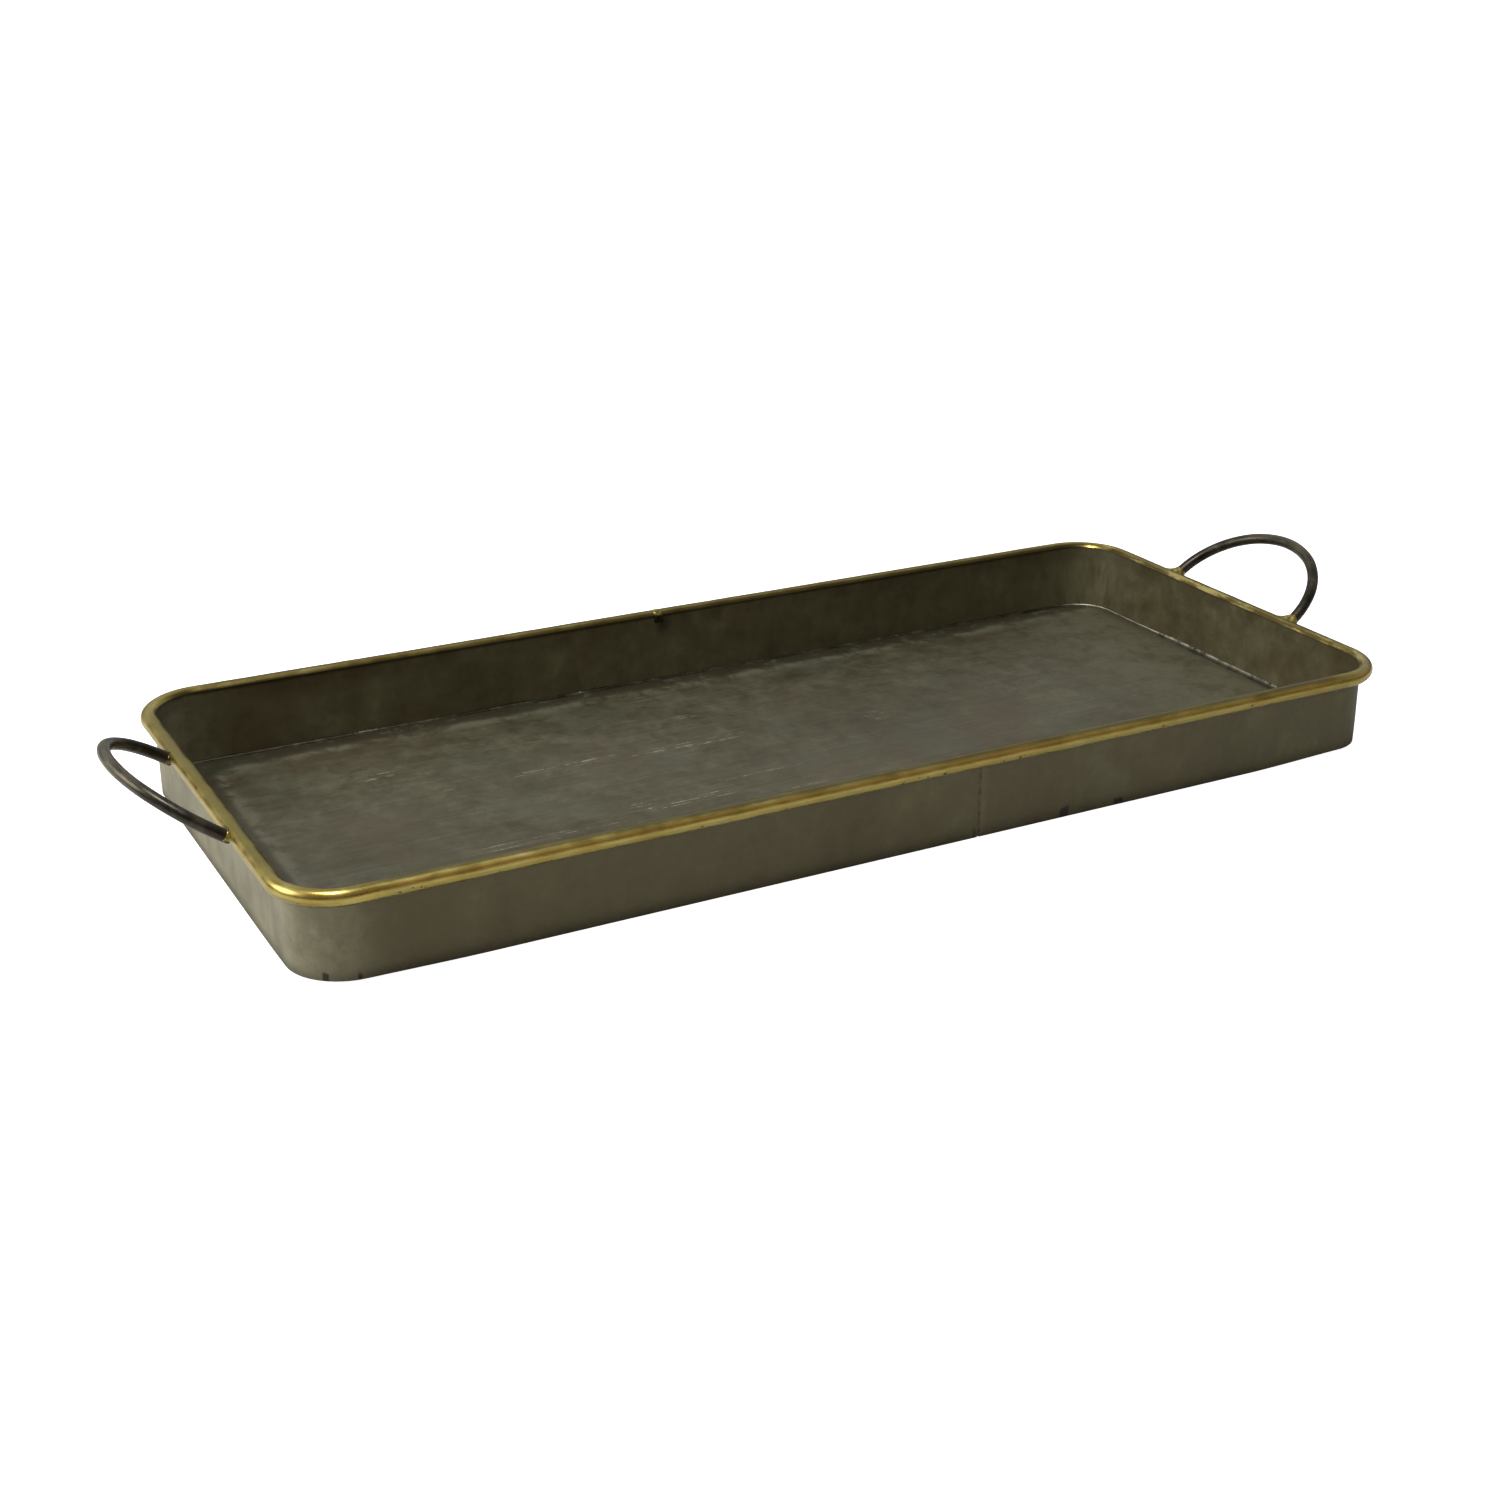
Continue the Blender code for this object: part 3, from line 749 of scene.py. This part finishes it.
def floor_zinc():
    g = Graph("zinc_floor", metallic=0.30, specular=0.35)
    place = g.place()
    x, y = g.part(place, "X"), g.part(place, "Y")
    cloud = g.noise(place, 9.0, 4.0, 0.5, 0.4)
    mottle = g.noise(place, 70.0, 7.0, 0.70, 0.3)
    grain = g.noise(place, 900.0, 3.0, 0.6)
    brushed = g.noise(g.stretch(place, (2.0, 60.0, 1.0)), 7.0, 8.0, 0.72)
    tone = g.weigh((cloud, 0.24), (mottle, 0.50), (brushed, 0.26))
    colour = g.tones(tone, (0.37, (58, 53, 35)), (0.45, (71, 67, 48)), (0.52, (80, 77, 59)),
                     (0.61, (94, 90, 72)))
    warm = g.span(g.noise(g.stretch(place, (0.7, 1.0, 1.0)), 16.0, 4.0, 0.55), 0.50, 0.66)
    colour = g.tint(colour, (80, 69, 50), warm, 0.40)
    cool = g.span(g.noise(g.stretch(place, (0.8, 1.4, 1.0)), 21.0, 5.0, 0.6), 0.52, 0.66)
    colour = g.tint(colour, (78, 82, 67), cool, 0.35)
    # Dull spots, and fine pale scratches along the tray, broken and gathered in patches
    colour = g.tint(colour, (56, 51, 34), patches(g, place, DULL_SPOTS), 0.38)
    scuffed = patches(g, place, SCRATCHED)
    fine = g.noise(g.stretch(place, (14.0, 760.0, 1.0)), 1.0, 2.0, 0.5)
    breaks = g.span(g.noise(g.stretch(place, (1.0, 2.0, 1.0)), 150.0, 4.0, 0.65), 0.44, 0.60)
    faint = g.times(g.span(fine, 0.62, 0.74), breaks)
    scratch = g.times(g.times(g.span(fine, 0.54, 0.66), breaks), scuffed)
    worn = g.times(scuffed, g.span(brushed, 0.40, 0.62))
    colour = g.tint(colour, (104, 100, 82), worn, 0.24)
    colour = g.tint(colour, (140, 136, 116), faint, 0.30)
    colour = g.tint(colour, (176, 172, 150), scratch, 0.72)
    # Painted light: paler towards the right end, where the right wall shades the floor
    painted_light_right_end = g.times(g.span(x, FLOOR_PAINTED_LIGHT_FROM, FLOOR_PAINTED_LIGHT_TO), g.span(mottle, 0.34, 0.58, 0.4, 0.8))
    colour = g.tint(colour, (100, 96, 77), painted_light_right_end)
    # The rubbed middle ends in a soft rounded border, and outside it the patina stays darker
    wander = g.swing(g.noise(place, 22.0, 4.0), 10 * MM)
    from_left = g.math("ADD", g.math("SUBTRACT", x, RUBBED_LEFT), wander)
    from_back = g.math("ADD", g.math("SUBTRACT", RUBBED_BACK, y), wander)
    border = g.math("SMOOTH_MIN", from_left, from_back, RUBBED_ROUND)
    outside = g.span(border, 3 * MM, -5 * MM)
    ridge = g.times(g.span(border, -2.0 * MM, 1.5 * MM), g.span(border, 9 * MM, 2.5 * MM))
    ridge = g.times(ridge, g.span(mottle, 0.42, 0.58))
    colour = g.tint(colour, (50, 45, 30), outside, 0.70)
    colour = g.tint(colour, (106, 103, 84), ridge, 0.75)
    # Dirt close to the walls, with frosted bits of old flux
    edge_x = g.math("SUBTRACT", HALF_X - WALL_INSET_BASE, g.math("ABSOLUTE", x))
    edge_y = g.math("SUBTRACT", HALF_Y - WALL_INSET_BASE, g.math("ABSOLUTE", y))
    edge = g.math("SMOOTH_MIN", edge_x, edge_y, WALL_CORNER_ROUND)
    dirt = g.times(g.span(edge, 11 * MM, 1 * MM), g.span(mottle, 0.34, 0.60, 0.2, 1.0))
    colour = g.tint(colour, (44, 39, 25), dirt, 0.6)
    frost = g.times(g.span(g.noise(place, 95.0, 8.0, 0.75), 0.54, 0.62), g.span(edge, 24 * MM, 5 * MM))
    colour = g.tint(colour, (100, 104, 88), frost, 0.45)
    speck = g.span(g.noise(place, 520.0, 2.0, 0.5), 0.68, 0.75)
    colour = g.tint(colour, (44, 38, 26), speck, 0.55)
    rough = g.math("MULTIPLY_ADD", scratch, -0.14, g.span(mottle, 0.30, 0.70, 0.46, 0.60))
    height = g.weigh((scratch, 0.4), (brushed, 0.4), (mottle, 0.4), (grain, 0.2))
    return g.finish(colour, rough, g.bump(height, 0.12 * MM, 0.6))


def wall_zinc():
    """Zinc sheet, with the distance along the wall from its seam in own X and the height in own Y."""
    g = Graph("zinc_wall", metallic=0.5)
    place, own = g.place(), g.own()
    x, y = g.part(place, "X"), g.part(place, "Y")
    along, height_up = g.part(own, "X"), g.part(own, "Y")
    cloud = g.noise(place, 10.0, 4.0, 0.5, 0.3)
    mottle = g.noise(place, 75.0, 6.0, 0.68, 0.2)
    grain = g.noise(place, 620.0, 3.0, 0.6)
    upright = g.noise(g.stretch(own, (1.0, 0.3, 1.0)), 70.0, 6.0, 0.64, 0.2)
    tone = g.weigh((cloud, 0.36), (mottle, 0.44), (upright, 0.20))
    colour = g.tones(tone, (0.37, (80, 72, 46)), (0.46, (90, 83, 56)), (0.53, (97, 90, 63)),
                     (0.62, (110, 104, 75)))
    colour = g.tint(colour, (86, 73, 44), g.span(g.noise(place, 17.0, 3.0), 0.50, 0.70), 0.4)
    # Painted light: paler at the left end, where the light from the left falls, and a painted highlight in
    # the back right corner
    painted_light_left_end = g.times(g.towards(x, -HALF_X, 46, -2), g.span(tone, 0.40, 0.58, 0.45, 1.0))
    colour = g.tint(colour, (164, 160, 132), painted_light_left_end, 0.72)
    # Painted highlight in the back right corner
    turn = g.times(g.towards(x, HALF_X, 60, 22), g.towards(y, HALF_Y, 52, 20))
    colour = g.tint(colour, (132, 127, 98), g.times(turn, g.span(upright, 0.36, 0.60, 0.1, 0.6)))
    # Darker along the foot, with a few rust spots
    foot = g.times(g.span(height_up, 8 * MM, 0.5 * MM), g.span(mottle, 0.35, 0.6, 0.3, 1.0))
    colour = g.tint(colour, (54, 46, 28), foot, 0.5)
    rust = g.span(g.noise(g.stretch(own, (1.0, 0.0, 0.0)), 62.0, 2.0, 0.4), 0.66, 0.70)
    for rust_x, half in RUST_SPOTS:
        near_spot = g.span(g.off(x, rust_x * MM), half * MM, 0.5 * half * MM)
        rust = g.math("MAXIMUM", rust, g.times(near_spot, g.span(y, 0.0, -1 * MM)))
    low_edge = g.swing(mottle, 8 * MM, height_up)
    colour = g.tint(colour, (30, 24, 16), g.times(rust, g.span(low_edge, 5.5 * MM, 3.5 * MM)), 0.85)
    # Painted shadow under the rim, and a smudge under the bead's joint
    painted_shadow_under_rim = g.times(g.towards(height_up, BEAD_Z, 9, 3), g.span(upright, 0.40, 0.6))
    colour = g.tint(colour, (60, 51, 30), painted_shadow_under_rim, 0.4)
    below_joint = g.times(g.towards(height_up, BEAD_Z, 14, 5), g.span(y, 0.0, 1 * MM))
    smudge = g.times(g.span(g.off(x, JOINT_X + 2 * MM), 7 * MM, 0.5 * MM), below_joint)
    colour = g.tint(colour, (46, 38, 26), smudge, 0.6)
    # Painted highlight along the lap's raw edge, where it catches the light
    lap = g.times(g.span(along, 5.0 * MM, 0.8 * MM), g.span(mottle, 0.3, 0.6, 0.5, 1.0))
    colour = g.tint(colour, (124, 116, 88), lap, 0.25)
    rough = g.math("MULTIPLY_ADD", upright, 0.06, g.span(mottle, 0.30, 0.70, 0.46, 0.60))
    height = g.weigh((mottle, 0.5), (grain, 0.22))
    return g.finish(colour, rough, g.bump(height, 0.10 * MM, 0.5))


def on_bead(degrees):
    """The distance round the bead's section from its outermost line up to an angle."""
    return BEAD_R * math.radians(degrees)


def rim_brass():
    """Dull brass, with the distance along the bead in own X and round its section, as on_bead, in own Y."""
    g = Graph("brass_rim", metallic=1.0)
    own, place = g.own(), g.place()
    around = g.part(own, "Y")
    x, y = g.part(place, "X"), g.part(place, "Y")
    drawn = g.noise(g.stretch(own, (0.05, 1.0, 1.0)), 900.0, 4.0, 0.6)
    blotch = g.noise(own, 60.0, 6.0, 0.64, 0.3)
    long_blotch = g.noise(g.stretch(own, (0.25, 1.0, 1.0)), 170.0, 5.0, 0.62)
    tone = g.weigh((blotch, 0.42), (long_blotch, 0.38), (drawn, 0.2))
    colour = g.tones(tone, (0.36, (132, 114, 56)), (0.45, (156, 140, 74)), (0.53, (172, 158, 90)),
                     (0.63, (194, 182, 120)))
    ruddy = g.span(g.noise(g.stretch(own, (0.5, 1.0, 1.0)), 42.0, 4.0, 0.6), 0.48, 0.66)
    colour = g.tint(colour, (160, 122, 52), ruddy, 0.35)
    # The film that dulls the bead is worn off at the corners, and a little along the left end
    corner_x = g.towards(g.math("ABSOLUTE", x), HALF_X, 50, 22)
    corner = g.times(corner_x, g.towards(g.math("ABSOLUTE", y), HALF_Y, 44, 16))
    left = g.towards(x, -HALF_X, 20, 8)
    kept = g.times(g.span(corner, 0.0, 1.0, 1.0, 0.2), g.span(left, 0.0, 1.0, 1.0, 0.8))
    # A painted highlight: a bright orange band along the outer face, a little above its middle
    sway = g.swing(g.noise(g.stretch(own, (1, 0, 0)), 40.0, 4.0), 1.6 * MM)
    off_line = g.off(g.math("ADD", around, sway), on_bead(HIGHLIGHT_BAND_ANGLE))
    painted_highlight_band = g.times(g.span(off_line, 1.5 * MM, 0.5 * MM), g.span(long_blotch, 0.30, 0.52, 0.4, 1.0))
    colour = g.tint(colour, (216, 176, 90), g.times(painted_highlight_band, g.span(left, 0.0, 1.0, 0.9, 0.25)))
    # The film on the lower half
    lower = g.times(g.span(around, on_bead(8), on_bead(-12)), kept)
    lower = g.times(lower, g.span(blotch, 0.34, 0.56, 0.5, 1.0))
    lower = g.times(lower, g.span(around, on_bead(-34), on_bead(-18), 0.2, 1.0))
    colour = g.tint(colour, (124, 110, 62), lower, 0.55)
    # Painted shade on the left end's outer face, where the light from the left falls on it
    painted_shade_left_low = g.times(g.span(around, on_bead(5), on_bead(-25)), left)
    colour = g.tint(colour, (106, 94, 46), painted_shade_left_low, 0.65)
    # and, thicker, over the top, where its darkening is also painted shade on the bead's top under the
    # overhead light
    top = g.times(g.span(around, on_bead(44), on_bead(66)), kept)
    top = g.times(top, g.span(around, on_bead(118), on_bead(100)))
    top = g.times(top, g.span(long_blotch, 0.30, 0.56, 0.6, 1.0))
    film_and_painted_shade = g.mix(left, srgb(92, 85, 60), srgb(122, 112, 50))
    colour = g.tint(colour, film_and_painted_shade, top, 0.82)
    # Painted shade on the inner side along the back, and less at the right end, for the dark tray reflected
    # there; at the right end it is also rubbed bright, with a painted highlight
    inner_face = g.span(around, on_bead(104), on_bead(132))
    right_face = g.times(g.towards(x, HALF_X, 12, 4, 0.0, 0.75), g.span(long_blotch, 0.58, 0.42, 0.55, 1.0))
    painted_shade_inner = g.math("MAXIMUM", g.towards(y, HALF_Y, 12, 4, 0.0, 0.86), right_face)
    colour = g.tint(colour, (78, 64, 36), g.times(inner_face, painted_shade_inner))
    # Painted highlight on the inner side at the right end, where it is rubbed bright
    rubbed = g.times(g.towards(x, HALF_X, 12, 4), g.span(long_blotch, 0.50, 0.60))
    rubbed = g.times(rubbed, g.span(around, on_bead(88), on_bead(112)))
    colour = g.tint(colour, (220, 206, 132), rubbed, 0.6)
    # Pits, and a dark line where the bead's edge meets the wall
    pit = g.times(g.span(g.noise(own, 330.0, 2.0, 0.4), 0.665, 0.70), g.span(around, on_bead(4), on_bead(-8)))
    colour = g.tint(colour, (40, 32, 16), pit, 0.9)
    low = g.times(g.span(around, on_bead(-68), on_bead(-84)), g.span(long_blotch, 0.36, 0.58))
    colour = g.tint(colour, (70, 55, 26), low, 0.7)
    rough = g.math("MULTIPLY_ADD", corner, -0.06, g.span(blotch, 0.32, 0.68, 0.30, 0.44))
    height = g.weigh((drawn, 0.4), (long_blotch, 0.6))
    return g.finish(colour, rough, g.bump(height, 0.12 * MM, 0.6))


def braze_metal(name, dull):
    """Braze: yellow where dull is low, burnt dark with small bright drops where it is high."""
    g = Graph(name, metallic=1.0)
    own, place = g.own(), g.place()
    lumpy = g.noise(place, 900.0, 4.0, 0.6, 0.3)
    blotch = g.noise(place, 420.0, 4.0, 0.6)
    colour = g.tones(blotch, (0.34, (112, 96, 42)), (0.48, (148, 132, 62)), (0.60, (176, 164, 96)))
    burnt = g.span(g.noise(place, 330.0, 3.0, 0.5), 0.72 - 0.36 * dull, 0.82 - 0.36 * dull)
    colour = g.tint(colour, (62, 50, 33), burnt, 0.9)
    colour = g.tint(colour, (74, 60, 34), g.span(g.part(own, "Y"), 1.4 * MM, 0.0), 0.6)
    rough = g.span(lumpy, 0.3, 0.7, 0.26, 0.44)
    return g.finish(colour, rough, g.bump(lumpy, 0.08 * MM, 0.5))


def joint_metal():
    """Braze over the bead's joint: like the bead on top, with painted shade on its inner side, as on the
    bead.
    """
    g = Graph("braze_joint", metallic=1.0)
    blotch = g.noise(g.place(), 420.0, 4.0, 0.6)
    colour = g.tones(blotch, (0.36, (104, 92, 46)), (0.50, (140, 126, 66)), (0.62, (190, 178, 118)))
    # Painted shade on the inner side, for the dark tray reflected there
    colour = g.tint(colour, (50, 42, 26), g.span(g.part(g.own(), "Y"), on_bead(140), on_bead(170)), 0.85)
    return g.finish(colour, g.span(blotch, 0.3, 0.7, 0.32, 0.46), g.bump(blotch, 0.08 * MM, 0.5))


def dark_iron():
    """Blackened rod, with the distance along it in own X."""
    g = Graph("dark_iron", metallic=0.8)
    own = g.own()
    along = g.noise(g.stretch(own, (0.25, 1.0, 1.0)), 240.0, 5.0, 0.62)
    blotch = g.noise(own, 90.0, 5.0, 0.6, 0.3)
    grain = g.noise(own, 1400.0, 3.0, 0.6)
    colour = g.tones(blotch, (0.34, (40, 37, 31)), (0.48, (54, 50, 42)), (0.58, (70, 66, 55)),
                     (0.68, (92, 87, 74)))
    rubbed = g.span(along, 0.56, 0.70)
    colour = g.tint(colour, (104, 99, 86), rubbed, 0.35)
    # Rubbed brighter where a hand closes round the middle, which also paints in a highlight there, and burnt
    # near the ends
    from_middle = g.off(g.part(own, "X"), ROD_LENGTH / 2)
    handled_and_painted_highlight = g.times(g.span(from_middle, 48 * MM, 14 * MM), g.span(along, 0.34, 0.58, 0.2, 1.0))
    colour = g.tint(colour, (132, 126, 104), handled_and_painted_highlight, 0.38)
    burnt = g.towards(from_middle, ROD_LENGTH / 2, 24, 8)
    colour = g.tint(colour, (52, 42, 33), burnt, 0.6)
    colour = g.tint(colour, (70, 54, 34), g.span(g.noise(own, 45.0, 3.0), 0.54, 0.68), 0.35)
    rough = g.math("MULTIPLY_ADD", rubbed, -0.06, g.span(blotch, 0.32, 0.68, 0.29, 0.44))
    height = g.weigh((along, 0.7), (grain, 0.3))
    return g.finish(colour, rough, g.bump(height, 0.10 * MM, 0.5))


def floor_tin():
    """Solder with 0 at its foot and 1 at its top in own Z: rubbed bright along the crest at the right end, in
    bits along the back, and dulled to the sheet's own patina elsewhere."""
    g = Graph("tin_floor", metallic=0.7)
    place, own = g.place(), g.own()
    x, y = g.part(place, "X"), g.part(place, "Y")
    mottle = g.noise(place, 110.0, 6.0, 0.66)
    lumpy = g.noise(place, 700.0, 3.0, 0.6)
    dull = g.tones(mottle, (0.36, (42, 38, 25)), (0.54, (60, 56, 40)), (0.66, (82, 78, 60)))
    bright = g.tones(mottle, (0.34, (140, 136, 116)), (0.50, (190, 187, 170)), (0.64, (222, 220, 206)))
    crest = g.span(g.part(own, "Z"), 0.45, 0.70)
    at_end = g.times(g.towards(x, HALF_X, 34, 12), g.span(mottle, 0.36, 0.50, 0.25, 1.0))
    at_end = g.times(at_end, g.span(y, -20 * MM, 55 * MM, 0.42, 1.0))
    bits = g.times(g.span(g.noise(place, 46.0, 5.0, 0.70), 0.58, 0.66), g.span(y, 0.0, HALF_Y))
    # Painted light: the dull solder is paler at the right end, lifting the shade at the fillet's foot
    dull = g.tint(dull, (98, 94, 76), at_end, 0.7)
    share = g.times(g.math("MAXIMUM", at_end, g.times(bits, 0.40)), crest)
    rough = g.span(mottle, 0.3, 0.7, 0.35, 0.55)
    return g.finish(g.mix(share, dull, bright), rough, g.bump(lumpy, 0.15 * MM, 0.5))


def seam_tin():
    g = Graph("tin_seam", metallic=0.5)
    place = g.place()
    mottle = g.noise(place, 260.0, 5.0, 0.66)
    colour = g.tones(mottle, (0.36, (70, 62, 40)), (0.50, (88, 80, 54)), (0.64, (106, 98, 70)))
    colour = g.tint(colour, (40, 33, 22), g.span(g.noise(place, 210.0, 2.0, 0.4), 0.60, 0.66), 0.8)
    rough = g.span(mottle, 0.3, 0.7, 0.50, 0.66)
    return g.finish(colour, rough, g.bump(mottle, 0.12 * MM, 0.5))


def hidden_wire():
    g = Graph("wire_steel", metallic=1.0)
    scale = g.noise(g.place(), 300.0, 4.0, 0.6)
    colour = g.tones(scale, (0.35, (96, 94, 92)), (0.65, (140, 138, 134)))
    return g.finish(colour, g.span(scale, 0.3, 0.7, 0.35, 0.5), g.bump(scale, 0.05 * MM, 0.4))


# ---------------------------------------------------------------------------------------------------
# Studio

BACKDROP_LIFT = 1.0  # added to the paper's brightness where the camera sees it, so that it stays white


def pale_floor():
    """A pale studio floor, far larger than the view."""
    size = 30.0
    low = -0.05 * MM
    mesh = bpy.data.meshes.new("studio_floor")
    mesh.from_pydata([(-size, -size, low), (size, -size, low), (size, size, low), (-size, size, low)], [],
                     [(0, 1, 2, 3)])
    made = bpy.data.objects.new("studio_floor", mesh)
    bpy.context.scene.collection.objects.link(made)
    g = Graph("studio_paper", metallic=0.0, specular=0.2)
    tooth = g.noise(g.place(), 30.0, 3.0)
    seen = g.times(g.put("LightPath", {}, "Is Camera Ray"), BACKDROP_LIFT)
    g.shader.inputs["Emission Color"].default_value = (1.0, 1.0, 1.0, 1.0)
    g.tree.links.new(seen, g.shader.inputs["Emission Strength"])
    mesh.materials.append(g.finish(g.ramp(tooth, (0.3, (0.79, 0.79, 0.79)), (0.7, (0.81, 0.81, 0.81))),
                                   g.span(tooth, 0.3, 0.7, 0.8, 0.9)))


def softbox(name, place, target, width, height, power):
    data = bpy.data.lights.new(name, "AREA")
    data.shape = "RECTANGLE"
    data.size, data.size_y = width, height
    data.energy = power
    made = bpy.data.objects.new(name, data)
    made.location = place
    made.rotation_euler = (Vector(target) - Vector(place)).to_track_quat("-Z", "Y").to_euler()
    bpy.context.scene.collection.objects.link(made)


SKY = 0.40  # brightness overhead and at the sides
SKY_BEHIND = 0.32  # added behind and taken away in front
SKY_LEAST = 0.05
HORIZON_LOW, HORIZON_HIGH = 0.02, 0.35  # the sky's brightness rises between these heights of its unit sphere


def studio():
    """A white backdrop to the camera. To the tray: a soft dim sky, brighter behind than in front, and two
    softboxes."""
    world = bpy.data.worlds.new("studio")
    bpy.context.scene.world = world
    world.use_nodes = True
    nodes, links = world.node_tree.nodes, world.node_tree.links

    def put(kind, *values, **settings):
        made = nodes.new("ShaderNode" + kind)
        for key, value in settings.items():
            setattr(made, key, value)
        for socket, value in zip(made.inputs, values):
            if isinstance(value, bpy.types.NodeSocket):
                links.new(value, socket)
            else:
                socket.default_value = value
        return made

    split = put("SeparateXYZ", put("TexCoord").outputs["Generated"])
    behind = put("Math", split.outputs["Y"], SKY_BEHIND, SKY, operation="MULTIPLY_ADD").outputs[0]
    lit = put("Math", behind, SKY_LEAST, operation="MAXIMUM").outputs[0]
    height = split.outputs["Z"]
    above = put("MapRange", height, HORIZON_LOW, HORIZON_HIGH, interpolation_type="SMOOTHSTEP").outputs[0]
    sky = nodes["Background"]
    sky.inputs["Color"].default_value = (1.0, 0.99, 0.97, 1.0)
    links.new(put("Math", lit, above, operation="MULTIPLY").outputs[0], sky.inputs["Strength"])
    paper = put("Background", (1.0, 1.0, 1.0, 1.0), 1.0)
    mixer = put("MixShader", put("LightPath").outputs["Is Camera Ray"], sky.outputs[0], paper.outputs[0])
    links.new(mixer.outputs[0], nodes["World Output"].inputs["Surface"])
    softbox("key_left", (-1.10, 0.25, 0.60), (-0.20, 0.0, 0.0), 0.7, 0.5, 6.5)
    softbox("top", (-0.40, -0.26, 1.38), (0.0, 0.0, 0.0), 0.35, 0.35, 14.0)


AZIMUTH, ELEVATION, ROLL = -28.703, 22.579, 0.451
AIM = Vector((-26.8, -19.0, 20.0)) * MM
DISTANCE = 1.0994
LENS = 51.49


def camera():
    data = bpy.data.cameras.new("camera")
    data.lens = LENS
    data.sensor_width = 36.0
    made = bpy.data.objects.new("camera", data)
    a, e = math.radians(AZIMUTH), math.radians(ELEVATION)
    back = Vector((math.sin(a) * math.cos(e), -math.cos(a) * math.cos(e), math.sin(e)))
    turn = (-back).to_track_quat("-Z", "Y").to_matrix() @ Matrix.Rotation(math.radians(ROLL), 3, "Z")
    made.matrix_world = Matrix.Translation(AIM + back * DISTANCE) @ turn.to_4x4()
    bpy.context.scene.collection.objects.link(made)
    bpy.context.scene.camera = made
    bpy.context.scene.view_settings.view_transform = "Standard"


camera()
studio()
pale_floor()

build_wall(wall_zinc())
build_floor(floor_zinc())
build_bead(rim_brass())
burnt_braze = braze_metal("braze_burnt", dull=0.85)
clean_braze = braze_metal("braze_clean", dull=0.25)
build_joint(joint_metal())
iron = dark_iron()
for side_word, braze in (("left", burnt_braze), ("right", clean_braze)):
    build_handle(side_word, iron)
    for end_word, end_sign in (("front", FRONT), ("back", BACK)):
        build_root_braze(side_word, end_word, end_sign, braze)
build_floor_solder(floor_tin())
build_seam_solder(seam_tin())
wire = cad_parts["rim_wire"]
wire.data.materials.clear()
wire.data.materials.append(hidden_wire())
